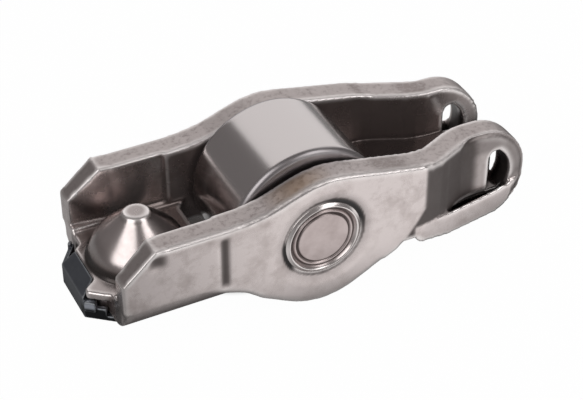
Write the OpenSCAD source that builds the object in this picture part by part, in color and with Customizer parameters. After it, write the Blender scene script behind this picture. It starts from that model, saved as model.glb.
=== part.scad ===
// Roller finger follower (rocker arm) of a valve train, pressed from thick
// sheet steel. Millimetres, +Z up, +X towards the valve, origin in the middle
// of the roller on its axis.

/* [Lever body] */
// Outside width over the two side walls
body_width = 18.4; // [18:0.1:18.8]
// Thickness of the pressed sheet
sheet = 3.2; // [3.1:0.05:3.3]
// Inside radius of the folds between web and walls
fold_radius = 0.5; // [0.3:0.1:0.8]
// Height of the flat wall tops above the roller axis
wall_top = 5.1; // [4.9:0.05:5.2]
// Height of the hump over the roller
hump_top = 7.6; // [7.2:0.1:8]
// Radius of the hump's crest
hump_radius = 10; // [9:0.5:11]
// Radius of the round boss under the roller pin
boss_radius = 8.6; // [8.4:0.1:8.8]
// Distance from the socket's middle to the end faces of the walls
end_margin = 5.3; // [5.1:0.1:5.7]
// Length of the end facets along the walls
facet_length = 3.8; // [3:0.1:4.4]
// Height at which the end facets meet the upright end faces
facet_low = 1.7; // [1.2:0.1:2.4]
// Length of the web's front lip beyond the wall ends
front_lip = 0.7; // [0.5:0.1:0.9]
// Level of the web's upper face at the pivot end
pivot_web_top = -2.0; // [-2.2:0.1:-1.8]
// Extra thinning inside the walls at the pivot end
pivot_thinning = 0.3; // [0.2:0.05:0.4]

/* [Pivot socket] */
// Distance from the roller axis to the socket's middle
socket_reach = 17.7; // [17.4:0.1:17.9]
// Radius of the ball that the socket sits on
ball_radius = 4; // [3.6:0.1:4.2]
// Radius of the raised dome where it meets the web
dome_radius = 5.5; // [5.3:0.1:5.6]
// Height of the dome's flat tip above the roller axis
dome_top = 3.6; // [3.4:0.1:3.8]
// Radius of the dome's flat tip
dome_tip_radius = 1.45; // [1.2:0.05:1.7]

/* [Valve end] */
// Level of the web's upper face at the valve pad
pad_web_top = -0.9; // [-1.1:0.1:-0.7]
// Distance from the roller axis to the middle of the rounded ears
ear_reach = 21; // [20.6:0.1:21.4]
// Outline radius of the ears
ear_radius = 6; // [5.9:0.05:6.1]
// Height of the ear outline's middle
ear_level = -0.9; // [-1:0.05:-0.8]
// Distance between the ears' inner faces
ear_gap = 6.8; // [6.6:0.1:7]
// Width of the rim left around each ear's window
ear_rim = 2; // [1.8:0.1:2.1]
// Distance from the roller axis to the windows' straight side
ear_window_reach = 22.1; // [21.8:0.1:22.4]
// Height of the windows' rounded top
ear_window_top = 2.4; // [2.2:0.1:2.6]
// Height of the windows' floor
ear_window_floor = -3.6; // [-3.7:0.1:-3.2]
// Lower face of the guide flanges beside the valve pad
guide_bottom = -5.6; // [-5.8:0.1:-5.4]
// Height of the guide flanges' outer edge
guide_height = 3; // [2.8:0.1:3.2]
// Distance between the guide flanges
guide_gap = 7; // [6.8:0.1:7.2]

/* [Roller and pin] */
// Outside diameter of the roller
roller_diameter = 18; // [17.6:0.1:18.2]
// Gap between each end of the roller and the wall beside it
roller_side_gap = 0.4; // [0.3:0.05:0.6]
// Rounding of the roller's edges
roller_edge = 0.7; // [0.5:0.1:0.9]
// Diameter of the axle pin
pin_diameter = 8.8; // [8.7:0.05:8.9]
// Diameter of one needle
needle_diameter = 1.95; // [1.9:0.01:1.96]
// Number of needles around the pin
needle_count = 17; // [15:1:17]
// Radial running clearance of the needles on the pin and in the roller
needle_clearance = 0.02; // [0.01:0.005:0.03]

/* [Retaining clip] */
// Thickness of the clip's spring sheet
clip_sheet = 0.6; // [0.5:0.05:0.7]
// Half width of the clip's flat front
clip_front = 3.2; // [3:0.1:3.4]
// Distance that the clip's front stands off the web's front edge
clip_standoff = 1.7; // [1.6:0.05:1.8]
// Gap between the clip and the lever
clip_gap = 0.02; // [0.01:0.01:0.04]

/* [Hidden] */
$fn = 96;
half = body_width / 2;
inner = half - sheet;
roller_r = roller_diameter / 2;
roller_width = 2 * (inner - roller_side_gap);
pin_r = pin_diameter / 2;
needle_r = needle_diameter / 2;
pitch_r = pin_r + needle_clearance + needle_r;
race_r = pitch_r + needle_r + needle_clearance;
fold_out = fold_radius + sheet;
end_reach = socket_reach + end_margin;
facet_reach = end_reach - facet_length;
pivot_web_low = pivot_web_top - sheet;
pad_web_low = pad_web_top - sheet;
ear_mid = (ear_gap + sheet) / 2;
wall_mid = half - sheet / 2;
window_left = -roller_r - 1.6;
window_right = roller_r + 1.9;
guide_top = guide_bottom + guide_height;
recess_start = 13.4;
pad_end = ear_reach + 3.5;
eps = 0.01;

// The flat outer walls end along a bevel that leans by this angle
flat_end = 12.2;
flat_lean = 35.4;

// Plan of the wall's middle line from the boss to the ear: turn angles and
// lengths of the straight steps; the steepest one takes up the rest.
bend_start = flat_end - 0.6;
step_angle = [8, 16, 24, 16, 8];
fixed_shift = 1.3 * sin(8) + 1.3 * sin(16) + 1.2 * sin(16) + 1.2 * sin(8);
long_step = (wall_mid - ear_mid - fixed_shift) / sin(24);
step_length = [1.3, 1.3, long_step, 1.2, 1.2];

lever_color = [0.78, 0.76, 0.75];
pin_color = [0.8, 0.78, 0.77];
roller_color = [0.85, 0.85, 0.86];
clip_color = [0.2, 0.21, 0.23];

needle_names = [for (k = [1:needle_count]) str("needle_", k)];

function sum_x(k) = k == 0 ? bend_start : sum_x(k - 1) + step_length[k - 1] * cos(step_angle[k - 1]);
function sum_y(k) = k == 0 ? wall_mid : sum_y(k - 1) - step_length[k - 1] * sin(step_angle[k - 1]);
function turn(k) = k < 0 ? 0 : k > 4 ? 0 : step_angle[k];

// Corner of the wall's plan at step k, on its outer (1) or inner (-1) face
function wall_point(k, side) =
    let (a = (turn(k - 1) + turn(k)) / 2, d = side * sheet / 2 / cos((turn(k) - turn(k - 1)) / 2))
    [sum_x(k) + d * sin(a), sum_y(k) + d * cos(a)];

// Points of an arc around a middle, between two angles
function arc(middle, r, from, to, steps) =
    [for (i = [0:steps]) let (a = from + (to - from) * i / steps) middle + r * [cos(a), sin(a)]];

module both_sides() {
    children();
    mirror([0, 1, 0]) children();
}

module side(w) {
    // Extrudes an XZ outline over the width w, centred on Y
    rotate([90, 0, 0]) linear_extrude(w, center = true) children();
}

module hump_outline() {
    // Rounded crest over the roller with a straight flank on each side; the
    // pivot side runs out in a softer foot
    crest = [0.8, hump_top - hump_radius];
    left = 20;
    right = 11.5;
    left_top = crest + hump_radius * [-sin(left), cos(left)];
    right_top = crest + hump_radius * [sin(right), cos(right)];
    foot = wall_top + 0.55;
    translate(crest) circle(hump_radius);
    polygon([
        left_top,
        right_top,
        [right_top.x + (right_top.y - wall_top) / tan(right), wall_top],
        [right_top.x, 0],
        [left_top.x, 0],
        [left_top.x - (left_top.y - foot) / tan(left) - 5, wall_top],
        [left_top.x - (left_top.y - foot) / tan(left) - 2.4, wall_top + 0.12],
        [left_top.x - (left_top.y - foot) / tan(left), foot]
    ]);
}

module wall_tops() {
    // Everything below the outline of the wall tops: two-facet end, flats,
    // hump and ear
    low = -12;
    side(body_width + 4) {
        polygon([
            [-end_reach, low],
            [-end_reach, facet_low],
            [-facet_reach, wall_top],
            [ear_reach, wall_top],
            [ear_reach, low]
        ]);
        intersection() {
            hump_outline();
            translate([-end_reach, -1]) square([2 * end_reach, hump_top + 2]);
        }
        translate([ear_reach, ear_level]) circle(ear_radius);
    }
}

module boss_outline() {
    // Flat outer walls with the round boss under the pin; both flanks leave
    // the boss as tangents, and the pivot one steepens into the fold
    flank = 28;
    intersection() {
        circle(boss_radius);
        translate([-10, -12]) square([20, 13]);
    }
    polygon([
        [-boss_radius * sin(flank), -boss_radius * cos(flank)],
        [-7.3, -boss_radius / cos(flank) + 7.3 * tan(flank)],
        [-9.1, -4.4],
        [-15.3, pivot_web_low + fold_out - 0.3],
        [-15.3, 1],
        [flat_end, 1],
        [flat_end, -boss_radius / cos(flank) + flat_end * tan(flank)],
        [boss_radius * sin(flank), -boss_radius * cos(flank)]
    ]);
}

module fold_section(top, web_low, web_reach) {
    // Half of the channel section: wall, fold and a piece of web; the wall's
    // middle line is at 0 and the web runs to -web_reach
    difference() {
        union() {
            translate([-sheet / 2, web_low + fold_out]) square([sheet, top - web_low - fold_out]);
            translate([-web_reach, web_low]) square([web_reach + sheet / 2 - fold_out, sheet]);
            intersection() {
                translate([sheet / 2 - fold_out, web_low + fold_out]) circle(fold_out);
                translate([sheet / 2 - fold_out - eps, web_low]) square([fold_out + eps, fold_out + eps]);
            }
        }
        translate([sheet / 2 - fold_out, web_low + fold_out]) circle(fold_radius);
    }
}

module straight_channel(x0, x1) {
    both_sides()
        translate([x0, wall_mid, 0])
            rotate([90, 0, 90]) linear_extrude(x1 - x0)
                fold_section(hump_top + 1.4, pivot_web_low, wall_mid + eps);
}

module boss_walls() {
    // Their lower edge is bevelled towards the valve
    both_sides() difference() {
        translate([0, wall_mid, 0]) side(sheet) boss_outline();
        translate([flat_end, 0, -0.4]) rotate([0, flat_lean, 0]) translate([0, 0, -10])
            linear_extrude(14) polygon([
                [0, half],
                [6, half - 4.2],
                [6, half + 2],
                [0, half + 2]
            ]);
    }
}

module valve_wall() {
    // Wall that steps inwards from the boss to the ear
    overlap = 2.7;
    ear_end = ear_reach + ear_radius + 1;
    translate([0, 0, pad_web_low]) linear_extrude(14) polygon(concat(
        [[flat_end - overlap, half]],
        [for (k = [0:5]) wall_point(k, 1)],
        [[ear_end, ear_mid + sheet / 2], [ear_end, ear_mid - sheet / 2]],
        [for (k = [5:-1:0]) wall_point(k, -1)],
        [[flat_end - overlap, inner]]
    ));
}

module valve_web() {
    // Web between the walls; its underside is the pad for the valve stem
    translate([0, 0, pad_web_low]) linear_extrude(sheet) polygon([
        [window_right, -inner - 0.6],
        [sum_x(2), -sum_y(2)],
        [sum_x(3), -sum_y(3)],
        [sum_x(5), -ear_mid],
        [pad_end, -ear_mid],
        [pad_end, ear_mid],
        [sum_x(5), ear_mid],
        [sum_x(3), sum_y(3)],
        [sum_x(2), sum_y(2)],
        [window_right, inner + 0.6]
    ]);
}

module valve_channel() {
    intersection() {
        both_sides() valve_wall();
        wall_tops();
    }
    valve_web();
}

// Outer edge of the guide flange in plan
function guide_edge(x) = half - max(0, x - flat_end) * 0.164;

module slit_undercut() {
    // The slit reaches in below the wall's lower edge
    start = flat_end + 4.6;
    end = ear_reach + 3.6;
    top = guide_top - 0.35;
    floor = guide_bottom + 1;
    reach = 0.8;
    both_sides() translate([0, 0, floor]) linear_extrude(top - floor) polygon([
        [start, guide_edge(start) - 0.8],
        [end, guide_edge(end) - 0.6],
        [end, ear_mid + sheet / 2 - reach],
        [sum_x(5), ear_mid + sheet / 2 - reach],
        [sum_x(3), sum_y(3) + sheet / 2 - reach]
    ]);
}

module guide_outline(start, end) {
    // Side view of a guide flange: round at the boss, rising along the ear
    corner = 1.2;
    translate([start + 1.3, guide_top - corner]) circle(corner);
    intersection() {
        polygon([
            [start + 1.3, guide_top],
            [ear_reach, guide_top],
            [end, guide_top + 0.5],
            [end, guide_bottom],
            [start + 4.5, guide_bottom],
            [start + 1.3, guide_bottom + 0.6]
        ]);
        union() {
            translate([ear_reach + 0.55, ear_level + 0.55]) circle(ear_radius - 0.55);
            translate([start, guide_bottom - 1]) square([ear_reach - start, guide_height + 3]);
        }
    }
}

module guide_flanges() {
    // Guide flange on each side of the valve pad, with the open slit between
    // its rim and the wall
    start = flat_end - 0.9;
    end = ear_reach + ear_radius;
    slit_start = start + 4.3;
    slit_end = ear_reach + 3.8;
    slit_floor = guide_bottom + 0.9;
    rim = 0.45;
    both_sides() difference() {
        intersection() {
            translate([0, 0, guide_bottom - 1]) linear_extrude(guide_height + 3) polygon([
                [start, half - 1.6],
                [start, half],
                [flat_end, half],
                [end, guide_edge(end)],
                [end, guide_gap / 2],
                [start + 3.2, guide_gap / 2],
                [start + 1.9, guide_gap / 2 + 1.3]
            ]);
            side(body_width + 4) guide_outline(start, end);
        }
        translate([0, 0, slit_floor]) linear_extrude(guide_height + 1) polygon([
            [slit_start, guide_edge(slit_start) - rim],
            [slit_end, guide_edge(slit_end) - rim],
            [slit_end, ear_mid],
            [sum_x(5), ear_mid],
            [sum_x(3), sum_y(3)],
            [slit_start, sum_y(2)]
        ]);
    }
}

module ear_windows() {
    // Opening of each ear, inside a rim that follows the ear's outline
    depth = sheet + 0.2;
    both_sides() translate([0, ear_gap / 2 + depth / 2 - eps, 0]) side(depth) intersection() {
        translate([ear_reach, ear_level]) circle(ear_radius - ear_rim);
        polygon([
            [ear_window_reach, ear_window_floor],
            [ear_window_reach, ear_window_top - 0.8],
            [ear_window_reach + 0.25, ear_window_top - 0.2],
            [ear_window_reach + 0.8, ear_window_top],
            [ear_reach + ear_radius, ear_window_top],
            [ear_reach + ear_radius, ear_window_floor]
        ]);
    }
}

module front_lip_plate() {
    // The web's front end, with its corners cut back for the clip
    corner = clip_front + 0.3;
    translate([0, 0, pivot_web_low]) linear_extrude(sheet) polygon([
        [-end_reach + 1, corner + 1.35],
        [-end_reach - front_lip, corner],
        [-end_reach - front_lip, -corner],
        [-end_reach + 1, -corner - 1.35]
    ]);
    // thin corner that reaches over the clip's near end
    reach = front_lip + clip_standoff - 0.25;
    translate([0, 0, pivot_web_top - 0.9]) linear_extrude(0.9) polygon([
        [-end_reach + 0.5, 0.6 - clip_front],
        [-end_reach - front_lip, 1.15 - clip_front],
        [-end_reach - reach + 0.2, 0.15 - clip_front],
        [-end_reach - reach, -clip_front - 0.5],
        [-end_reach - front_lip, -clip_front - 1.7],
        [-end_reach + 0.5, -clip_front - 2.5]
    ]);
}

module dome() {
    // Socket pressed up out of the web: round shoulder, cone and flat tip
    height = dome_top - pivot_web_top;
    shoulder_r = 4.5;
    shoulder = [dome_radius - shoulder_r, -0.3];
    cone_top = dome_tip_radius + 0.25;
    edge = shoulder + shoulder_r * [cos(48), sin(48)];
    front = -end_reach - front_lip;
    intersection() {
        translate([-socket_reach, 0, pivot_web_top]) rotate_extrude()
            polygon(concat(
                [[0, height], [0, 0.5 - sheet], [dome_radius + 0.3, 0.5 - sheet], [dome_radius + 0.3, 0]],
                arc(shoulder, shoulder_r, 8, 48, 5),
                [[cone_top, edge.y + (edge.x - cone_top) * tan(42)], [dome_tip_radius, height]]
            ));
        // the web holds it between its front edge and the window
        translate([front, -half, pivot_web_low]) cube([window_left - front, body_width, 2 * half]);
    }
}

module socket() {
    // Cavity for the ball that carries the lever
    depth = 2.1;
    lead_in = 0.6;
    translate([-socket_reach, 0, pivot_web_low]) {
        translate([0, 0, depth]) sphere(ball_radius);
        translate([0, 0, -1]) cylinder(h = depth + 1, r = ball_radius);
        translate([0, 0, -eps]) cylinder(h = lead_in, r1 = ball_radius + lead_in, r2 = ball_radius);
    }
}

module window() {
    // Opening of the web for the roller
    corner = 1.3;
    low = -9;
    length = window_right - window_left;
    translate([0, 0, low]) linear_extrude(-low) {
        translate([window_left, -inner + corner]) square([length, 2 * (inner - corner)]);
        translate([window_left + corner, -inner]) square([length - 2 * corner, 2 * inner]);
        for (x = [window_left + corner, window_right - corner], y = [-1, 1])
            translate([x, y * (inner - corner)]) circle(corner);
    }
}

module pivot_pocket() {
    // The walls are thinner inside at the pivot end and open out at its mouth
    step = -socket_reach + ball_radius + 1.9;
    mouth = 1.2;
    translate([0, 0, pivot_web_top + fold_radius]) linear_extrude(20) polygon([
        [-end_reach - 2, inner + mouth],
        [-socket_reach - 0.3, inner + pivot_thinning],
        [step, inner + pivot_thinning],
        [step, -inner - pivot_thinning],
        [-socket_reach - 0.3, -inner - pivot_thinning],
        [-end_reach - 2, -inner - mouth]
    ]);
}

module lever() {
    stake = 0.4;
    color(lever_color) difference() {
        union() {
            difference() {
                union() {
                    intersection() {
                        straight_channel(-end_reach, flat_end - 1.8);
                        wall_tops();
                    }
                    front_lip_plate();
                    boss_walls();
                }
                window();
                pivot_pocket();
            }
            valve_channel();
            guide_flanges();
            dome();
        }
        socket();
        // pin bores with their staking chamfers
        rotate([90, 0, 0]) cylinder(h = body_width + 2, r = pin_r, center = true);
        both_sides() translate([0, half + eps, 0]) rotate([90, 0, 0])
            cylinder(h = stake, r1 = pin_r + stake, r2 = pin_r);
        ear_windows();
        slit_undercut();
        // the web ends before the ears do
        translate([pad_end, -ear_gap / 2, -8]) cube([6, ear_gap, 16]);
        // recess for the valve stem below the pad
        translate([recess_start, -guide_gap / 2, -9]) cube([16, guide_gap, 9 + pad_web_low]);
    }
}

module roller() {
    w = roller_width / 2;
    color(roller_color) rotate([90, 0, 0]) rotate_extrude() {
        translate([race_r, -w]) square([roller_r - roller_edge - race_r, 2 * w]);
        translate([race_r, -w + roller_edge]) square([roller_r - race_r, 2 * (w - roller_edge)]);
        for (s = [-1, 1]) translate([roller_r - roller_edge, s * (w - roller_edge)]) circle(roller_edge);
    }
}

module axle_pin() {
    // Staked over at both ends: a flared rim, a groove and a sunk middle
    flare = 0.15;
    groove_r = pin_r - 0.65;
    middle_r = pin_r - 1.2;
    color(pin_color) difference() {
        union() {
            rotate([90, 0, 0]) cylinder(h = body_width - 0.1, r = pin_r, center = true);
            both_sides() translate([0, half, 0]) rotate([90, 0, 0])
                cylinder(h = 2 * flare, r1 = pin_r + flare, r2 = pin_r);
        }
        both_sides() translate([0, half - 0.3, 0]) rotate([-90, 0, 0]) difference() {
            cylinder(h = 1, r = groove_r);
            translate([0, 0, -1]) cylinder(h = 1.25, r = middle_r);
        }
    }
}

module needle(k) {
    // One of the full ring of needles between pin and roller
    end_gap = 0.3;
    color(roller_color)
        rotate([0, 360 / needle_count * (k - 1), 0]) translate([pitch_r, 0, 0]) rotate([90, 0, 0])
            cylinder(h = roller_width - 2 * end_gap, r = needle_r, center = true, $fn = 32);
}

// The clip's outline in plan: flat front and two slanted corners, the far one
// steep and the near one drawn out below the lever
clip_low = pivot_web_low - clip_gap - clip_sheet;
clip_nose = -end_reach - front_lip - clip_standoff;
clip_bend = pivot_web_top - 1.2;
far_slant = [1.85, 2.6];
near_slant = [3.16, 2.56];

module clip_corner_wall(slant, from, to, outline) {
    // Wall along a slanted corner; outline gives its section, inwards and up
    translate([clip_nose, clip_front, 0]) rotate([0, 0, atan2(slant.y, slant.x)])
        translate([from, 0, 0]) rotate([90, 0, 90]) linear_extrude(to - from) polygon(outline);
}

module clip() {
    rear = window_left + clip_gap + clip_sheet;
    edge = -end_reach - front_lip - clip_gap;
    far_corner = [clip_nose, clip_front] + far_slant;
    near_corner = [clip_nose + near_slant.x, -clip_front - near_slant.y];
    far_length = norm(far_slant);
    near_length = 2.5;
    color(clip_color) {
        // plate under the web with the opening for the ball
        difference() {
            translate([0, 0, clip_low]) linear_extrude(clip_sheet) polygon([
                [clip_nose, clip_front],
                far_corner,
                [rear, far_corner.y],
                [rear, near_corner.y],
                near_corner,
                [clip_nose, -clip_front]
            ]);
            translate([-socket_reach, 0, clip_low - 1]) cylinder(h = clip_sheet + 2, r = ball_radius - 0.3);
        }
        // front wall
        translate([clip_nose, -clip_front, clip_low])
            cube([clip_sheet, 2 * clip_front, clip_bend - clip_low - 0.35]);
        // sloping lip from the front wall back to the web's front edge
        intersection() {
            side(2 * clip_front) polygon([
                [clip_nose, clip_bend - 0.8],
                [clip_nose, clip_bend],
                [edge, pivot_web_top],
                [edge, pivot_web_top - 0.75],
                [clip_nose + clip_sheet, clip_bend - 0.8]
            ]);
            translate([0, 0, clip_low]) linear_extrude(10) polygon([
                [clip_nose - 1, clip_front],
                [edge + 1, clip_front],
                [edge + 1, 1.3 - clip_front],
                [edge, 1.3 - clip_front],
                [clip_nose, -clip_front],
                [clip_nose - 1, -clip_front]
            ]);
        }
        // high far corner with its small prong
        clip_corner_wall(far_slant, 0, far_length, [
            [0, clip_low],
            [0, clip_bend - 0.1],
            [-clip_sheet, clip_bend + 0.35],
            [-clip_sheet, clip_low]
        ]);
        clip_corner_wall(far_slant, far_length - 0.6, far_length, [
            [0, clip_low],
            [0, clip_bend + 0.6],
            [-0.35, clip_bend + 0.6],
            [-0.35, clip_low]
        ]);
        // low near corner with its lug
        mirror([0, 1, 0]) {
            clip_corner_wall(near_slant, 0, near_length, [
                [0, clip_low],
                [0, clip_low + 1.5],
                [-clip_sheet, clip_low + 1.5],
                [-clip_sheet, clip_low]
            ]);
            clip_corner_wall(near_slant, 0.15, 1.4, [
                [0.25, clip_low + 1.1],
                [0.25, clip_low + 2.3],
                [-0.5, clip_low + 2.3],
                [-0.5, clip_low + 1.1]
            ]);
        }
        // rear tab, turned up against the edge of the web's window
        translate([rear - clip_sheet, -2.5, clip_low])
            cube([clip_sheet, 5, pivot_web_top - 1 - clip_low]);
    }
}

lever();
roller();
axle_pin();
clip();
for (k = [1:needle_count]) needle(k);
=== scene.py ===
# A roller finger follower, dressed for the studio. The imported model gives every
# shape and size; this script gives the pieces their finish, edges and light.
import math

import bmesh
import bpy
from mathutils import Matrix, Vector


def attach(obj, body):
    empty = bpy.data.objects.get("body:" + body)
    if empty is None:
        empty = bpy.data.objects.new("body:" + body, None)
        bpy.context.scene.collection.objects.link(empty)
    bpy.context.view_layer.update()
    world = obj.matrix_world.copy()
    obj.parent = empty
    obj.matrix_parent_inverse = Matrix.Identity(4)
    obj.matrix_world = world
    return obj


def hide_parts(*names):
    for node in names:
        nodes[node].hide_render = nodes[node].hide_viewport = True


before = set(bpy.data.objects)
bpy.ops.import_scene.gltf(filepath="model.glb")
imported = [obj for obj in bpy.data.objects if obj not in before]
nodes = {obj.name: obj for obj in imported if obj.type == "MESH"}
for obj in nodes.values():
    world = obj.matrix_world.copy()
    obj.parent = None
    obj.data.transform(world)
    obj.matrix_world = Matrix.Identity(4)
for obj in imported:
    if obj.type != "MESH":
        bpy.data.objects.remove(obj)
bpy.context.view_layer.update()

# Lever. One piece of 3.2 mm case-hardening steel, pressed, folded, hardened and
# then tumbled with ceramic chips. Tumbling rounds its edges and polishes what
# the chips reach, and the sheared wall tops stay coarse. The insides stay dark,
# partly from furnace skin and partly from painted shade.
MM = 0.001
LEVER_GRID = 0.212 * MM

# Places in mm from the middle of the roller: the walls stand along X, their
# faces look along Y, and the valve end with its ears is at +X
SHEET = 3.2
WALL_INNER = 6.0
STEP_IN = 2.6
STEP_START, STEP_END = 11.6, 20
FLAT_END = 12.2
SOCKET_REACH = 17.7
EAR_X, EAR_Z = 21, -0.9
EAR_RADIUS = 6
EAR_FLAT = 4
EAR_FALL = 0.4
GROOVE_X = -11.55
GROOVE_HALF_WIDTH = 0.5
GROOVE_HEIGHT = (-2.6, -1.8, 3.6, 4.4)
DIMPLE_X, DIMPLE_Z = -19.1, 3.6

# Depths in mm of the press marks
GROOVE_DEPTH = 0.22
DIMPLE_DEPTH = 0.2
SINK_DEPTH = 0.16

# Smoothing takes this much off an edge, in mm, before it counts as rubbed
EDGE_START, EDGE_RANGE = 0.009, 0.025

# Sizes of the patterns
SMUDGE_SIZE = 3.03 * MM
STAIN_SIZE = 7.7 * MM
PIT_SIZE = 0.5 * MM
GRAIN_SIZE = 0.3846 * MM

TUMBLED, SMUDGED = "CFC5C3", "9C908C"
SHEARED, SHEARED_PIT = "B4ABA9", "8C827F"
FURNACE_SKIN_AND_SHADE, FURNACE_SCALE_AND_SHADE = "857976", "6B605D"
COINED = "A39A98"
# painted shade in the press marks, the stepped faces and the undersides
PAINTED_SHADE_DARK = "4A4240"
UNLIT = "1C1817"
# rubbed edges and painted highlights
WORN_AND_HIGHLIGHT = "ECE6E4"
HEAT_TINT = "A08468"


def linear(code):
    # sRGB hex to the linear colour that a shader takes
    parts = [int(code[i:i + 2], 16) / 255 for i in (0, 2, 4)]
    return tuple(c / 12.92 if c <= 0.04045 else ((c + 0.055) / 1.055) ** 2.4 for c in parts) + (1,)


def feed(tree, node, inputs):
    # Gives each input its value, or the output that drives it
    for key, value in inputs.items():
        if isinstance(value, bpy.types.NodeSocket):
            tree.links.new(value, node.inputs[key])
        else:
            node.inputs[key].default_value = value


def add(tree, kind, inputs, out=0, **settings):
    # Adds a node with its settings and links, and gives one of its outputs
    made = tree.nodes.new(kind)
    for name, value in settings.items():
        setattr(made, name, value)
    feed(tree, made, inputs)
    return made.outputs[out]


def new_material(name):
    made = bpy.data.materials.new(name)
    made.use_nodes = True
    tree = made.node_tree
    return made, tree, tree.nodes["Principled BSDF"]


def give(obj, material):
    obj.data.materials.clear()
    obj.data.materials.append(material)


def shade_smooth(mesh):
    for face in mesh.polygons:
        face.use_smooth = True


def fine_copy(node, name, grid):
    # The node's solid on a fine even grid, ready to be worn round
    mesh = bpy.data.meshes.new(name)
    bm = bmesh.new()
    bm.from_mesh(nodes[node].data)
    bmesh.ops.remove_doubles(bm, verts=bm.verts, dist=1e-6)
    bm.to_mesh(mesh)
    made = bpy.data.objects.new(name, mesh)
    bpy.context.scene.collection.objects.link(made)
    remesh = made.modifiers.new("grid", "REMESH")
    remesh.mode = "SHARP"
    remesh.octree_depth = 8
    remesh.scale = max(made.dimensions) / (2 ** 8 * grid)
    remesh.use_remove_disconnected = False
    view = bpy.context.evaluated_depsgraph_get()
    made.data = bpy.data.meshes.new_from_object(made.evaluated_get(view))
    made.modifiers.clear()
    bm.clear()
    bm.from_mesh(made.data)
    return made, bm


def wear(bm, passes, where=None):
    # Rounds edges by smoothing; where picks points by their place in mm
    picked = [v for v in bm.verts if where is None or where(*(v.co / MM))]
    for _ in range(passes):
        bmesh.ops.smooth_vert(bm, verts=picked, factor=0.5, use_axis_x=True, use_axis_y=True, use_axis_z=True)


def step(value, low, high):
    # 0 below low, 1 above high, smooth between
    t = min(1, max(0, (value - low) / (high - low)))
    return t * t * (3 - 2 * t)


def band(value, low, full, fade, high):
    # 1 from full to fade, 0 below low and above high, smooth between
    return step(value, low, full) * (1 - step(value, fade, high))


def bell(value, middle, half, power=2):
    # 1 at the middle; a higher power gives a flatter top and steeper sides
    return math.exp(-((value - middle) / half) ** power)


def inner_face(x):
    # Distance of the wall's inner face from the middle; it steps inwards
    return WALL_INNER - STEP_IN * step(x, STEP_START, STEP_END)


def outer_face(x):
    return inner_face(x) + SHEET


def guide_face(x):
    # Outer face of the guide flange below the valve end
    return WALL_INNER + SHEET - 0.164 * max(0, x - FLAT_END)


def dome_radius(x, y):
    return math.hypot(x + SOCKET_REACH, y)


def ear_radius(x, z):
    return math.hypot(x - EAR_X, z - EAR_Z)


def outline_of(bm, best):
    # Highest or lowest point of the walls in each half millimetre of length
    found = {}
    for v in bm.verts:
        x, y, z = v.co / MM
        if abs(y) > outer_face(x) - 0.4:
            found[round(2 * x)] = best(found.get(round(2 * x), z), z)
    return found


def press_marks(bm):
    # Shallow marks on the outer faces: an upright groove where the pivot end
    # was thinned, a dimple at each top corner, the sunk ring round the pin and
    # the ears' faces, which fall away towards their outline
    for v in bm.verts:
        x, y, z = v.co / MM
        rim = ear_radius(x, z)
        if x > 17 and rim > EAR_FLAT and abs(y) > outer_face(x) - 1 and (z > -2.3 or x > 25):
            facing = step(v.normal.y * math.copysign(1, y), 0.3, 0.9)
            share = (min(rim, EAR_RADIUS) - EAR_FLAT) / (EAR_RADIUS - EAR_FLAT)
            v.co.y -= math.copysign(EAR_FALL * facing * share ** 2 * step(x, 17.5, 20), y) * MM
        if abs(y) < 8.9:
            continue
        groove = GROOVE_DEPTH * bell(x, GROOVE_X, GROOVE_HALF_WIDTH) * band(z, *GROOVE_HEIGHT)
        dimple = DIMPLE_DEPTH * math.exp(-((x - DIMPLE_X) ** 2 + (z - DIMPLE_Z) ** 2) / 0.6)
        sink = SINK_DEPTH * band(math.hypot(x, z), 4.5, 4.7, 4.7, 6.4)
        v.co.y -= math.copysign(groove + dimple + sink, y) * MM


def mark_shade_share(x, y, z, n):
    # Painted shade in the same marks, in the chamfer round the pin, which is
    # widest above it, and a painted shadow round that chamfer
    groove = 0.95 * bell(x, GROOVE_X, GROOVE_HALF_WIDTH, 4) * band(z, *GROOVE_HEIGHT)
    dimple = 0.9 * bell(x, DIMPLE_X + 0.1, 0.95, 4) * bell(z, DIMPLE_Z + 0.2, 0.75, 4)
    r = math.hypot(x, z)
    top = max(0, (0.5 * x + 0.85 * z) / max(r, 1))
    chamfer = band(r, 4.3, 4.5, 4.82 + 0.25 * top, 5 + 0.25 * top) * (0.75 + 0.25 * top)
    halo = (0.2 + 0.3 * top) * band(r, 4.7, 4.8, 4.8, 6.2)
    return (groove + dimple + max(chamfer, halo)) * step(abs(y), 8.4, 8.6)


def stepped_shade_share(x, y, z, n):
    # Painted shade where the wall steps inwards behind the flat: bevel, step
    # and ear; and on the undersides, the ears' ends and the facets
    outer = 1 - step(outer_face(x) - abs(y), 1.6, 2.2)
    behind = step(x - FLAT_END - 0.71 * min(0, z + 0.4), 0, 0.6)
    flange = step(x, 11.1, 11.4) * step(-z, 2.45, 2.6) * step(abs(y) - guide_face(x), -0.3, -0.15)
    away = step(x, 19.6, 21)
    ear = 0.7 * max(step(x, 22, 23), step(z, 2, 3)) * (1 - 0.2 * step(ear_radius(x, z), 5.2, 5.9))
    share = 0.95 - 0.6 * away + 0.4 * away * ear
    face = behind * (1 - flange) * outer * (1 - step(n.z, 0.4, 0.7)) * share
    under = 0.5 * step(-n.z, 0.15, 0.5) * (1 - step(x, 8, 12)) * outer
    end = 0.75 * step(n.x, 0.5, 0.8) * step(x, 22.5, 24) * step(z, -2, -1)
    facet = 0.45 * step(-x, 19.3, 19.6) * step(-n.x, 0.3, 0.6) * step(n.z, 0.3, 0.6) * step(abs(y), 6, 6.3)
    return max(face, under, end, facet)


# Painted shade from the marks and the stepped faces, which are also duller
def dull_and_shade_share(x, y, z, n):
    return max(mark_shade_share(x, y, z, n), stepped_shade_share(x, y, z, n))


def drawn_share(x, y, z, n):
    # The dome's flank, drawn smooth over the punch
    return (1 - step(dome_radius(x, y), 5.0, 5.4)) * step(z, -1.9, -1.5) * step(3.5 - z, 0, 0.3)


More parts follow.
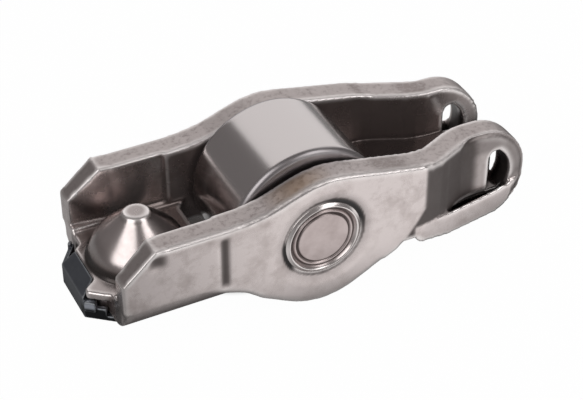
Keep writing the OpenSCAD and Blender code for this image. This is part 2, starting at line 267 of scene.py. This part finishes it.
def hollow_share(x, y, z, n):
    # Painted shade where hardly any light gets in: the insides of the ears'
    # windows and of the slits, the foot of the dome, the deep side of the sink
    # round the pin and the valve end's floor; and on the dome's flanks, most on
    # the one towards the roller
    depth = outer_face(x) - abs(y)
    window = step(x, 21.6, 22) * (1 - step(ear_radius(x, z), 4.7, 5)) * band(depth, 0.4, 0.6, 2.6, 2.8)
    slit = step(x, 15, 15.4) * step(-z, 2.6, 2.9) * (1 - step(depth, 2.6, 2.8))
    slit *= step(guide_face(x) - abs(y), 0.4, 0.75)
    foot = bell(dome_radius(x, y), 5.55, 0.4, 4) * band(z, -2.6, -2.3, -1.2, -0.6)
    r = max(math.hypot(x, z), 1)
    deep = max(step((0.7 * x + 0.7 * z) / r, 0.55, 0.9), step((-0.97 * x - 0.26 * z) / r, 0.86, 0.96))
    sink = deep * band(r, 4.4, 4.5, 4.85, 5.1) * step(abs(y), 8.3, 8.5)
    flank = drawn_share(x, y, z, n) * max(0.6 * step(n.x, 0.2, 0.55), 0.25 * step(-n.x, 0.6, 0.8))
    floor = 0.6 * step(x, 8.5, 9.5) * (1 - step(z, -1.4, 0)) * (1 - step(abs(y) - inner_face(x), 0, 0.3))
    return max(0.8 * window, 0.7 * slit, 0.85 * foot, sink, flank, floor)


def painted_highlight_share(x, y, z, n):
    # Painted highlights on edges: the wall's top before the groove, its inner
    # top at the valve end, the fold before the ear and the flange's rim
    inside = abs(y) - inner_face(x)
    top = band(x, -18.3, -17.7, -15, -9) * step(abs(y), 8.5, 8.7) * step(z, 4.4, 4.6)
    top *= 1 - step(n.z, 0.9, 0.97)
    inner = band(x, 9, 11, 18.5, 19.5) * step(z, 0, 1) * band(n.z, 0.25, 0.4, 0.9, 0.97)
    inner *= band(inside, -0.2, 0, 0.4, 0.6)
    fold = bell(x, 20.6 + 0.4 * (4.2 - z), 0.4) * band(z, 1.2, 2, 3.9, 4.4) * (1 - step(inside, 0.2, 0.4))
    rim = band(x, 15.5, 17, 24, 25) * step(abs(y) - guide_face(x), -0.65, -0.3) * step(z, -3, -2.7)
    return max(0.9 * top, 0.8 * inner, 0.9 * fold, 0.7 * rim)


def nick_share(x, y, z, n):
    # Torn spots on the sheared tops, each about 2 mm long
    near = bell(x, 8.2, 1.9, 4) * (y < 0)
    far = (bell(x, 12.6, 0.6, 4) + bell(x, 18.6, 1.5, 4)) * (y > 0)
    return near + far


def shear_share(x, y, z, n):
    # Top faces of the walls, cut by the press tool
    return step(n.z, 0.45, 0.8) * step(abs(y) - inner_face(x), -0.1, 0.2) * step(z, 0.5, 1.5)


def coined_share(x, y, z, n):
    # Flats that the die pressed down hard: the dome's tip and the front lip
    tip = (1 - step(dome_radius(x, y), 1.3, 1.6)) * step(z, 3, 3.4)
    lip = step(-x, 22.2, 23) * (1 - step(abs(y), 6, 6.4))
    return step(n.z, 0.8, 0.95) * max(tip, lip)


def shaded_share(x, y, z, n):
    # Furnace skin and painted shade on the faces inside the channel and below
    # the web, away from the dome, less of it towards the ears and the valve end
    inside = 1 - step(abs(y) - inner_face(x), 0.15, 0.5)
    dome = (1 - step(dome_radius(x, y), 4.9, 5.3)) * step(z, -2.2, -1.8)
    lip = step(-x, 21.5, 22.6) * step(n.z, 0.3, 0.8)
    ear = max(step(x, 22.3, 23.5), step(z, 1.8, 2.8) * step(x, 20, 21.5))
    end = step(x, 23.5, 25) * (1 - step(z, 1, 3))
    return inside * (1 - dome) * (1 - lip) * (1 - 0.4 * ear - 0.35 * end)


def edge_wear(bm):
    # How far each point stands out as an edge, from what smoothing takes off,
    # evened out with its neighbours
    before = [v.co.copy() for v in bm.verts]
    normals = [v.normal.copy() for v in bm.verts]
    wear(bm, 6)
    amount = [(a - v.co).dot(n) / MM for a, v, n in zip(before, bm.verts, normals)]
    bm.verts.index_update()
    for _ in range(2):
        amount = [
            sum(amount[e.other_vert(v).index] for e in v.link_edges) / max(1, len(v.link_edges))
            for v in bm.verts
        ]
    for v, place in zip(bm.verts, before):
        v.co = place
    return amount


def rubbed_and_highlight_share(amount, x, y, z, n):
    # Edges that the chips rub bright, less so at the two far ends, together
    # with the painted highlights
    kept = (1 - 0.7 * step(-x, 22.2, 22.6)) * (1 - 0.5 * step(x, 23.5, 25))
    return max((amount - EDGE_START) / EDGE_RANGE * kept, painted_highlight_share(x, y, z, n))


def paint(mesh, name, values):
    # Keeps one value from 0 to 1 per point for the material
    layer = mesh.attributes.new(name, "FLOAT", "POINT")
    layer.data.foreach_set("value", [min(1, max(0, v)) for v in values])


lever, bm = fine_copy("lever", "lever_tumbled", LEVER_GRID)
tops = outline_of(bm, max)
lows = outline_of(bm, min)


def near_top(x, z, reach):
    return z > tops.get(round(2 * x), 9) - reach


def near_low(x, z, reach):
    return z < lows.get(round(2 * x), -9) + reach


# every edge; the ears' rims; the dome
wear(bm, 3)
wear(bm, 14, lambda x, y, z: x > 19 and ear_radius(x, z) > 4.9 and abs(y) > 3.6 and z > -2.4)
wear(bm, 6, lambda x, y, z: dome_radius(x, y) < 6 and z > -1.8)
# outer and inner top edges, the hump beside the roller, the pivot end's fold
wear(bm, 8, lambda x, y, z: x > -19 and abs(y) > outer_face(x) - 0.6 and near_top(x, z, 0.6))
wear(bm, 4, lambda x, y, z: abs(abs(y) - inner_face(x)) < 0.5 and near_top(x, z, 0.6))
wear(bm, 10, lambda x, y, z: -10 < x < 12 and -y > outer_face(x) - 0.8 and near_top(x, z, 0.8))
wear(bm, 8, lambda x, y, z: -18 < x < -10 and abs(y) > 8.2 and z > 4.1)
# lower outer edges, which the die rolled over, and the flange's rim
wear(bm, 22, lambda x, y, z: abs(y) > outer_face(x) - 1 and x < 7.5 and near_low(x, z, 1))
wear(bm, 5, lambda x, y, z: abs(y) > outer_face(x) - 1 and 7 < x < 10 and near_low(x, z, 0.8))
wear(bm, 12, lambda x, y, z: x > 15 and abs(abs(y) - guide_face(x)) < 0.8 and -3.4 < z < -2.3)
bm.normal_update()
press_marks(bm)
bm.normal_update()
edges = edge_wear(bm)
bm.to_mesh(lever.data)
bm.free()
shade_smooth(lever.data)
points = [(*(v.co / MM), v.normal) for v in lever.data.vertices]
# the worn attribute holds the rubbed edges and the painted highlights
paint(lever.data, "worn", [rubbed_and_highlight_share(amount, *point) for amount, point in zip(edges, points)])
for name, share in {
    "dull_and_painted_shade": dull_and_shade_share, "hollow": hollow_share, "drawn": drawn_share, "nicked": nick_share,
    "sheared": shear_share, "shaded": shaded_share, "coined": coined_share,
}.items():
    paint(lever.data, name, [share(*point) for point in points])

# Tumbled case-hardened steel: satin and warm grey, with faint smudges about
# 3 mm across and a fine grain; the insides are darkened by the furnace's dark
# skin and by painted shade
pressed_steel, tree, bsdf = new_material("tumbled_case_hardened_steel")
place = add(tree, "ShaderNodeTexCoord", {}, out="Object")
worn, dull_and_painted_shade, hollow, drawn, nicked, sheared, shaded, coined = (
    add(tree, "ShaderNodeAttribute", {}, out="Fac", attribute_name=name)
    for name in ("worn", "dull_and_painted_shade", "hollow", "drawn", "nicked", "sheared", "shaded", "coined")
)

# smudges: most where a stain lies, more stains towards the pivot end
smudge = add(
    tree, "ShaderNodeTexNoise", {"Vector": place, "Scale": 1 / SMUDGE_SIZE, "Detail": 6, "Roughness": 0.65},
)
smudge = add(tree, "ShaderNodeMapRange", {"Value": smudge, "From Min": 0.45, "From Max": 0.7})
stain = add(
    tree, "ShaderNodeTexNoise", {"Vector": place, "Scale": 1 / STAIN_SIZE, "Detail": 2, "Roughness": 0.5},
)
along = add(tree, "ShaderNodeSeparateXYZ", {0: place}, out="X")
reach = add(tree, "ShaderNodeMapRange", {
    "Value": along, "From Min": -21 * MM, "From Max": -2 * MM, "To Min": 0.2, "To Max": 0,
})
stain = add(tree, "ShaderNodeMath", {0: stain, 1: reach}, operation="ADD")
stain = add(tree, "ShaderNodeMapRange", {
    "Value": stain, "From Min": 0.4, "From Max": 0.72, "To Min": 0.35, "To Max": 1,
})
smudge = add(tree, "ShaderNodeMath", {0: smudge, 1: stain}, operation="MULTIPLY")
most = add(tree, "ShaderNodeMapRange", {"Value": drawn, "To Min": 0.8, "To Max": 0.3})
smudge = add(tree, "ShaderNodeMapRange", {"Value": smudge, "To Max": most})

# pits in the sheared tops, deeper at the torn spots
pits = add(
    tree, "ShaderNodeTexNoise", {"Vector": place, "Scale": 1 / PIT_SIZE, "Detail": 5, "Roughness": 0.72},
)
pits = add(tree, "ShaderNodeMath", {0: nicked, 1: 0.2, 2: pits}, operation="MULTIPLY_ADD")
pits = add(tree, "ShaderNodeMapRange", {"Value": pits, "From Min": 0.5, "From Max": 0.72, "To Max": 0.8})

# a spot of heat tint on the near wall's top, beside the roller
tint = add(
    tree, "ShaderNodeVectorMath", {0: place, 1: (-2.5 * MM, -7.5 * MM, 6.6 * MM)}, out="Value",
    operation="DISTANCE",
)
tint = add(tree, "ShaderNodeMapRange", {
    "Value": tint, "From Min": 0.8 * MM, "From Max": 4.2 * MM, "To Min": 0.6, "To Max": 0,
})

skin = add(
    tree, "ShaderNodeMix", {0: smudge, 6: linear(TUMBLED), 7: linear(SMUDGED)}, out=2, data_type="RGBA",
)
# furnace skin, darkened further with painted shade
dark = add(
    tree, "ShaderNodeMix", {0: smudge, 6: linear(FURNACE_SKIN_AND_SHADE), 7: linear(FURNACE_SCALE_AND_SHADE)}, out=2,
    data_type="RGBA",
)
cut = add(
    tree, "ShaderNodeMix", {0: pits, 6: linear(SHEARED), 7: linear(SHEARED_PIT)}, out=2, data_type="RGBA",
)
cut = add(tree, "ShaderNodeMix", {0: tint, 6: cut, 7: linear(HEAT_TINT)}, out=2, data_type="RGBA")
# over the tumbled colour: furnace skin with painted shade, cut tops, coined flats, painted shade, rubbed
# edges with painted highlights, and painted shade in the hollows
base = skin
for share, colour in (
    (shaded, dark), (sheared, cut), (coined, linear(COINED)), (dull_and_painted_shade, linear(PAINTED_SHADE_DARK)),
    (worn, linear(WORN_AND_HIGHLIGHT)), (hollow, linear(UNLIT)),
):
    base = add(tree, "ShaderNodeMix", {0: share, 6: base, 7: colour}, out=2, data_type="RGBA")

# scale and the dull places under the painted shade mirror less than bare metal
metal = add(tree, "ShaderNodeMapRange", {"Value": shaded, "To Min": 1, "To Max": 0.72})
dull = add(tree, "ShaderNodeMapRange", {"Value": dull_and_painted_shade, "To Min": 1, "To Max": 0.4})
metal = add(tree, "ShaderNodeMath", {0: metal, 1: dull}, operation="MULTIPLY")
rough = add(tree, "ShaderNodeMapRange", {"Value": sheared, "To Min": 0.24, "To Max": 0.42})
for share, more in ((smudge, 0.16), (dull_and_painted_shade, 0.2), (drawn, -0.01)):
    rough = add(tree, "ShaderNodeMath", {0: share, 1: more, 2: rough}, operation="MULTIPLY_ADD")
nicks = add(tree, "ShaderNodeMath", {0: pits, 1: sheared}, operation="MULTIPLY")
nicks = add(tree, "ShaderNodeBump", {"Height": nicks, "Strength": 0.5, "Distance": 0.06 * MM}, invert=True)
grain = add(
    tree, "ShaderNodeTexNoise", {"Vector": place, "Scale": 1 / GRAIN_SIZE, "Detail": 4, "Roughness": 0.7},
)
bump = add(tree, "ShaderNodeBump", {
    "Height": grain, "Normal": nicks, "Strength": 0.12, "Distance": 0.02 * MM,
})
feed(tree, bsdf, {"Base Color": base, "Metallic": metal, "Roughness": rough, "Normal": bump})

give(lever, pressed_steel)
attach(lever, "lever_body")
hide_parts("lever")

# Axle pin. Turned steel, pushed through both walls and staked over: the punch
# leaves a flared bright rim, two grooves and a plain middle at each end.
# Half outline of one end in mm: radius, then the place along the axis
PIN_END = [
    (0, 9.02), (2.85, 9.02), (2.97, 8.99), (3.02, 8.84), (3.14, 8.78), (3.24, 8.84), (3.3, 8.97), (3.42, 9),
    (3.5, 8.94), (3.56, 8.8), (3.7, 8.76), (3.84, 8.86), (3.94, 9.06), (4.02, 9.17), (4.1, 9.19),
    (4.16, 9.15), (4.22, 9.06), (4.44, 8.98), (4.5, 8.92), (4.5, 8.8), (4.41, 8.7),
]
PIN_STEPS = 160
PIN_TURNED, PIN_SMUDGED = "C0B3B1", "9A8C89"
PIN_GROOVE, PIN_RIM = "453D3B", "DDD6D4"
PIN_SMUDGE_SIZE = 2.38 * MM
TURNING_PITCH = 0.2856 * MM
# the two grooves lie this far on either side of a circle between them
GROOVES_MIDDLE, GROOVES_APART = 3.38 * MM, 0.28 * MM


def turned(name, outline, steps):
    # Spins a half outline (radius, place along the axis) round the Y axis
    mesh = bpy.data.meshes.new(name)
    bm = bmesh.new()
    points = [bm.verts.new((r * MM, y * MM, 0)) for r, y in outline]
    for first, second in zip(points, points[1:]):
        bm.edges.new((first, second))
    bmesh.ops.spin(
        bm, geom=bm.verts[:] + bm.edges[:], cent=(0, 0, 0), axis=(0, 1, 0), angle=2 * math.pi,
        steps=steps, use_merge=True,
    )
    bmesh.ops.remove_doubles(bm, verts=bm.verts, dist=1e-7)
    bmesh.ops.recalc_face_normals(bm, faces=bm.faces)
    bm.to_mesh(mesh)
    bm.free()
    shade_smooth(mesh)
    made = bpy.data.objects.new(name, mesh)
    bpy.context.scene.collection.objects.link(made)
    return made


axle = turned("axle_pin_staked", PIN_END + [(r, -y) for r, y in reversed(PIN_END)], PIN_STEPS)

# Turned steel: pinkish grey with faint smudges and fine turning rings, dark in
# the two grooves and bright on the rim, where the punch polished it
pin_steel, tree, bsdf = new_material("turned_and_staked_steel")
place = add(tree, "ShaderNodeTexCoord", {}, out="Object")
smudge = add(
    tree, "ShaderNodeTexNoise",
    {"Vector": place, "Scale": 1 / PIN_SMUDGE_SIZE, "Detail": 6, "Roughness": 0.65},
)
smudge = add(tree, "ShaderNodeMapRange", {"Value": smudge, "From Min": 0.4, "From Max": 0.75, "To Max": 0.6})
across = add(tree, "ShaderNodeVectorMath", {0: place, 1: (1, 0, 1)}, operation="MULTIPLY")
radius = add(tree, "ShaderNodeVectorMath", {0: across}, out="Value", operation="LENGTH")
rim = add(tree, "ShaderNodeMapRange", {"Value": radius, "From Min": 3.8 * MM, "From Max": 4 * MM})
groove = radius
for distance in (GROOVES_MIDDLE, GROOVES_APART):
    groove = add(tree, "ShaderNodeMath", {0: groove, 1: distance}, operation="SUBTRACT")
    groove = add(tree, "ShaderNodeMath", {0: groove}, operation="ABSOLUTE")
groove = add(tree, "ShaderNodeMapRange", {
    "Value": groove, "From Min": 0.07 * MM, "From Max": 0.17 * MM, "To Min": 0.95, "To Max": 0,
})
base = linear(PIN_TURNED)
for share, colour in ((smudge, PIN_SMUDGED), (groove, PIN_GROOVE), (rim, PIN_RIM)):
    base = add(tree, "ShaderNodeMix", {0: share, 6: base, 7: linear(colour)}, out=2, data_type="RGBA")
rough = add(tree, "ShaderNodeMapRange", {"Value": rim, "To Min": 0.34, "To Max": 0.22})
turning = add(tree, "ShaderNodeMath", {0: radius, 1: 2 * math.pi / TURNING_PITCH}, operation="MULTIPLY")
turning = add(tree, "ShaderNodeMath", {0: turning}, operation="SINE")
bump = add(tree, "ShaderNodeBump", {"Height": turning, "Strength": 0.15, "Distance": 0.004 * MM})
feed(tree, bsdf, {"Base Color": base, "Metallic": 1, "Roughness": rough, "Normal": bump})

give(axle, pin_steel)
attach(axle, "lever_body")
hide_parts("axle_pin")

# Roller. Ring of through-hardened bearing steel that the cam runs on; its face
# is ground and superfinished and its edges are rounded and polished.
ROLLER_RADIUS = 9.0
RACE_RADIUS = 6.39
ROLLER_HALF_WIDTH = 5.6
ROLLER_EDGE = 0.7
RACE_CHAMFER = 0.25
ROLLER_STEPS = 240
MARK_LENGTH, MARK_WIDTH = 16.67 * MM, 0.1111 * MM
ROLLER_FACE, ROLLER_ROUNDING = "C6C0BF", "A49FA0"

rounding = [math.radians(turn) for turn in range(0, 91, 15)]
outline = [
    (RACE_RADIUS, -3), (RACE_RADIUS, -ROLLER_HALF_WIDTH + RACE_CHAMFER),
    (RACE_RADIUS + RACE_CHAMFER, -ROLLER_HALF_WIDTH), (ROLLER_RADIUS - ROLLER_EDGE - 0.5, -ROLLER_HALF_WIDTH),
]
outline += [
    (
        ROLLER_RADIUS - ROLLER_EDGE * (1 - math.sin(angle)),
        -ROLLER_HALF_WIDTH + ROLLER_EDGE * (1 - math.cos(angle)),
    )
    for angle in rounding
]
outline += [(ROLLER_RADIUS, -4.6), (ROLLER_RADIUS, -2)]
outline += [(r, -y) for r, y in reversed(outline)]
roller = turned("roller_ground", outline + outline[:1], ROLLER_STEPS)

# Ground bearing steel: neutral satin grey with grinding marks that run round
# it; the rounded edges are a little duller, and painted a little darker as shade
ground_steel, tree, bsdf = new_material("ground_bearing_steel")
place = add(tree, "ShaderNodeTexCoord", {}, out="Object")
stretched = add(
    tree, "ShaderNodeVectorMath", {0: place, 1: (1 / MARK_LENGTH, 1 / MARK_WIDTH, 1 / MARK_LENGTH)},
    operation="MULTIPLY",
)
marks = add(tree, "ShaderNodeTexNoise", {"Vector": stretched, "Scale": 1, "Detail": 2, "Roughness": 0.5})
edge = add(tree, "ShaderNodeSeparateXYZ", {0: place}, out="Y")
edge = add(tree, "ShaderNodeMath", {0: edge}, operation="ABSOLUTE")
edge = add(tree, "ShaderNodeMapRange", {"Value": edge, "From Min": 4.9 * MM, "From Max": 5.1 * MM})
# painted shade on the rounded edges
base = add(
    tree, "ShaderNodeMix", {0: edge, 6: linear(ROLLER_FACE), 7: linear(ROLLER_ROUNDING)}, out=2,
    data_type="RGBA",
)
rough = add(tree, "ShaderNodeMapRange", {"Value": edge, "To Min": 0.2, "To Max": 0.34})
bump = add(tree, "ShaderNodeBump", {"Height": marks, "Strength": 0.2, "Distance": 0.003 * MM})
feed(tree, bsdf, {"Base Color": base, "Metallic": 1, "Roughness": rough, "Normal": bump})

give(roller, ground_steel)
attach(roller, "roller_body")
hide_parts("roller")

# Needles. Full ring of seventeen hardened needles between pin and roller,
# lapped smooth and loose in the race.
OIL_SIZE = 2 * MM
LAPPED, OILED = "BDB8B6", "989290"

# Lapped bearing steel: smooth and bright, clouded a little darker by its oil
lapped_steel, tree, bsdf = new_material("lapped_bearing_steel")
place = add(tree, "ShaderNodeTexCoord", {}, out="Object")
oil = add(tree, "ShaderNodeTexNoise", {"Vector": place, "Scale": 1 / OIL_SIZE, "Detail": 3})
base = add(tree, "ShaderNodeMix", {0: oil, 6: linear(LAPPED), 7: linear(OILED)}, out=2, data_type="RGBA")
feed(tree, bsdf, {"Base Color": base, "Metallic": 1, "Roughness": 0.22})
for name, obj in nodes.items():
    if name.startswith("needle_"):
        give(obj, lapped_steel)

# Clip. Bent from 0.6 mm spring steel, hardened and blackened, and snapped on
# under the pivot end, where it holds the lever on its ball.
CLIP_GRID = 0.1 * MM
CLIP_EDGE_START, CLIP_EDGE_RANGE = 0.009, 0.02
CLOUD_SIZE = 1.4286 * MM
OXIDE, OXIDE_CLOUD = "4E5157", "62656B"
LUG_LIGHT_GREY, CORNER_SHADED, OXIDE_WORN = "B4B8C2", "202225", "84878B"


def lug_share(x, y, z, n):
    # The bent-up lug at the near front corner, lighter grey
    return step(z, -4.8, -4.6) * step(-y, 3.2, 3.4)


def corner_share(x, y, z, n):
    # The near front corner below the lug, which faces away from the light
    return (1 - step(z, -4.5, -4.1)) * step(-y - x - 27.6, 0, 0.4)


clip, bm = fine_copy("clip", "clip_blackened", CLIP_GRID)
wear(bm, 3)
edges = edge_wear(bm)
bm.to_mesh(clip.data)
bm.free()
shade_smooth(clip.data)
points = [(*(v.co / MM), v.normal) for v in clip.data.vertices]
paint(clip.data, "worn", [(amount - CLIP_EDGE_START) / CLIP_EDGE_RANGE for amount in edges])
paint(clip.data, "lug", [lug_share(*point) for point in points])
paint(clip.data, "shaded", [corner_share(*point) for point in points])

# Blackened spring steel: bluish black satin oxide, a little lighter on edges
spring_steel, tree, bsdf = new_material("blackened_spring_steel")
place = add(tree, "ShaderNodeTexCoord", {}, out="Object")
worn, lug, shaded = (
    add(tree, "ShaderNodeAttribute", {}, out="Fac", attribute_name=name) for name in ("worn", "lug", "shaded")
)
cloud = add(
    tree, "ShaderNodeTexNoise", {"Vector": place, "Scale": 1 / CLOUD_SIZE, "Detail": 4, "Roughness": 0.6},
)
base = linear(OXIDE)
for share, colour in ((cloud, OXIDE_CLOUD), (lug, LUG_LIGHT_GREY), (shaded, CORNER_SHADED), (worn, OXIDE_WORN)):
    base = add(tree, "ShaderNodeMix", {0: share, 6: base, 7: linear(colour)}, out=2, data_type="RGBA")
bump = add(tree, "ShaderNodeBump", {"Height": cloud, "Strength": 0.2, "Distance": 0.01 * MM})
feed(tree, bsdf, {"Base Color": base, "Metallic": 0.7, "Roughness": 0.36, "Normal": bump})

give(clip, spring_steel)
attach(clip, "lever_body")
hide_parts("clip")

# Studio. White table under a soft light box behind and two narrow ones in
# front. Metal shows a glow painted on the table, brightest before the lever:
# a painted reflection.
FLOOR = -9 * MM
TABLE_SIZE = 1.6
TABLE_WHITE = "F4F4F4"
CONTACT_SHADE = "5A5654"
CONTACT_PLACE = (-4.5 * MM, 4.5 * MM)
CONTACT_RADIUS = 9.5 * MM
DIMMEST, BRIGHTEST = 0.06, 1.05

table_mesh = bpy.data.meshes.new("table")
bm = bmesh.new()
bmesh.ops.create_grid(bm, x_segments=1, y_segments=1, size=TABLE_SIZE)
bmesh.ops.translate(bm, verts=bm.verts, vec=(0, 0, FLOOR))
bm.to_mesh(table_mesh)
bm.free()
table = bpy.data.objects.new("table", table_mesh)
bpy.context.scene.collection.objects.link(table)

# Matt white laminate: plain white to the eye; in the metal it shows a glow
# painted for a painted reflection, dim under the lever, behind it and far
# before it
white_table, tree, bsdf = new_material("white_table")
place = add(tree, "ShaderNodeTexCoord", {}, out="Object")
along = add(tree, "ShaderNodeSeparateXYZ", {0: place}, out="X")
side = add(tree, "ShaderNodeSeparateXYZ", {0: place}, out="Y")
clear_of = add(tree, "ShaderNodeMath", {0: side}, operation="ABSOLUTE")
clear_of = add(
    tree, "ShaderNodeMapRange", {"Value": clear_of, "From Min": 6 * MM, "From Max": 16 * MM},
    interpolation_type="SMOOTHSTEP",
)
front = add(tree, "ShaderNodeMapRange", {
    "Value": along, "From Min": -30 * MM, "From Max": -26 * MM, "To Min": 1, "To Max": 0,
})
past = add(tree, "ShaderNodeMath", {0: along, 1: side}, operation="ADD")
past = add(
    tree, "ShaderNodeMapRange",
    {"Value": past, "From Min": 34 * MM, "From Max": 48 * MM, "To Min": 1, "To Max": 0.15},
    interpolation_type="SMOOTHSTEP",
)
before = add(
    tree, "ShaderNodeMapRange",
    {"Value": along, "From Min": -34 * MM, "From Max": 8 * MM, "To Min": 0.28, "To Max": 1},
    interpolation_type="SMOOTHSTEP",
)
# the glow painted for mirrors, a painted reflection
painted_glow = add(tree, "ShaderNodeMath", {0: clear_of, 1: front}, operation="MAXIMUM")
painted_glow = add(tree, "ShaderNodeMath", {0: painted_glow, 1: past}, operation="MULTIPLY")
painted_glow = add(tree, "ShaderNodeMath", {0: painted_glow, 1: before}, operation="MULTIPLY")
painted_glow = add(tree, "ShaderNodeMapRange", {"Value": painted_glow, "To Min": DIMMEST, "To Max": BRIGHTEST})

# contact shade, under the lever and close behind it
from_contact = add(
    tree, "ShaderNodeVectorMath", {0: place, 1: (*CONTACT_PLACE, FLOOR)}, operation="SUBTRACT",
)
from_contact = add(
    tree, "ShaderNodeVectorMath", {0: from_contact, 1: (1 / CONTACT_RADIUS, 1 / CONTACT_RADIUS, 0)},
    operation="MULTIPLY",
)
clear = add(tree, "ShaderNodeVectorMath", {0: from_contact}, out="Value", operation="LENGTH")
clear = add(
    tree, "ShaderNodeMapRange", {"Value": clear, "From Min": 0.78, "From Max": 0.98},
    interpolation_type="SMOOTHSTEP",
)
base = add(
    tree, "ShaderNodeMix", {0: clear, 6: linear(CONTACT_SHADE), 7: linear(TABLE_WHITE)}, out=2,
    data_type="RGBA",
)
feed(tree, bsdf, {"Base Color": base, "Roughness": 0.9})

# clear of that shade the camera sees almost only the white glow; mirrors
# see nothing else
camera_ray, glossy_ray, transmission_ray = (
    add(tree, "ShaderNodeLightPath", {}, out=ray)
    for ray in ("Is Camera Ray", "Is Glossy Ray", "Is Transmission Ray")
)
strength = add(tree, "ShaderNodeMix", {0: camera_ray, 2: painted_glow, 3: 1.0}, data_type="FLOAT")
glow = add(tree, "ShaderNodeEmission", {"Color": (1, 1, 1, 1), "Strength": strength})
share = add(tree, "ShaderNodeMath", {0: clear, 1: 0.985}, operation="MULTIPLY")
share = add(tree, "ShaderNodeMath", {0: camera_ray, 1: share}, operation="MULTIPLY")
mirrored = add(tree, "ShaderNodeMath", {0: glossy_ray, 1: transmission_ray}, operation="MAXIMUM")
share = add(tree, "ShaderNodeMath", {0: share, 1: mirrored}, operation="MAXIMUM")
both = add(tree, "ShaderNodeMixShader", {0: share, 1: bsdf.outputs[0], 2: glow})
feed(tree, tree.nodes["Material Output"], {"Surface": both})
give(table, white_table)

world = bpy.data.worlds.new("studio")
bpy.context.scene.world = world
world.use_nodes = True
tree = world.node_tree
camera_ray = add(tree, "ShaderNodeLightPath", {}, out="Is Camera Ray")
sky = add(
    tree, "ShaderNodeMix", {0: camera_ray, 6: (0.21, 0.2, 0.2, 1), 7: (1, 1, 1, 1)}, out=2, data_type="RGBA",
)
feed(tree, tree.nodes["Background"], {"Color": sky})


def softbox(name, direction, distance, size, radiance):
    # Lamp that faces the lever; radiance 1 shows as white in a mirror. The
    # second size runs upwards.
    data = bpy.data.lights.new(name, "AREA")
    data.shape = "RECTANGLE"
    data.size, data.size_y = size
    data.energy = radiance * math.pi * size[0] * size[1]
    made = bpy.data.objects.new(name, data)
    bpy.context.scene.collection.objects.link(made)
    away = Vector(direction).normalized()
    made.location = away * distance
    made.rotation_euler = away.to_track_quat("Z", "Y").to_euler()


softbox("back", (0.38, 0.76, 0.53), 0.53, (0.84, 0.62), 0.8)
softbox("left", (-0.79, -0.36, 0.67), 0.4, (0.32, 0.36), 1.75)
softbox("right", (0.5, -0.74, 0.64), 0.4, (0.18, 0.32), 2)

# Camera. A long lens at the photo's angle, 184 mm from the middle of the
# roller and a little off it, so that the lever lies in the frame as it does there.
CAMERA_TURN = math.radians(-26.591)
CAMERA_RISE = math.radians(37.893)
CAMERA_REACH = 183.985 * MM
CAMERA_SHIFT = (0.588 * MM, -0.921 * MM)
SENSOR_WIDTH = 36
PICTURE_WIDTH, FOCAL_LENGTH_PIXELS = 583, 1667.1

away = Vector((
    math.sin(CAMERA_TURN) * math.cos(CAMERA_RISE),
    -math.cos(CAMERA_TURN) * math.cos(CAMERA_RISE),
    math.sin(CAMERA_RISE),
))
right = Vector((math.cos(CAMERA_TURN), math.sin(CAMERA_TURN), 0))
up = away.cross(right)
lens = bpy.data.cameras.new("camera")
lens.sensor_width = SENSOR_WIDTH
lens.lens = FOCAL_LENGTH_PIXELS / PICTURE_WIDTH * SENSOR_WIDTH
lens.clip_start = 0.01
lens.clip_end = 10
camera = bpy.data.objects.new("camera", lens)
bpy.context.scene.collection.objects.link(camera)
camera.location = away * CAMERA_REACH + right * CAMERA_SHIFT[0] + up * CAMERA_SHIFT[1]
camera.rotation_euler = away.to_track_quat("Z", "Y").to_euler()
bpy.context.scene.camera = camera
bpy.context.scene.view_settings.view_transform = "Standard"
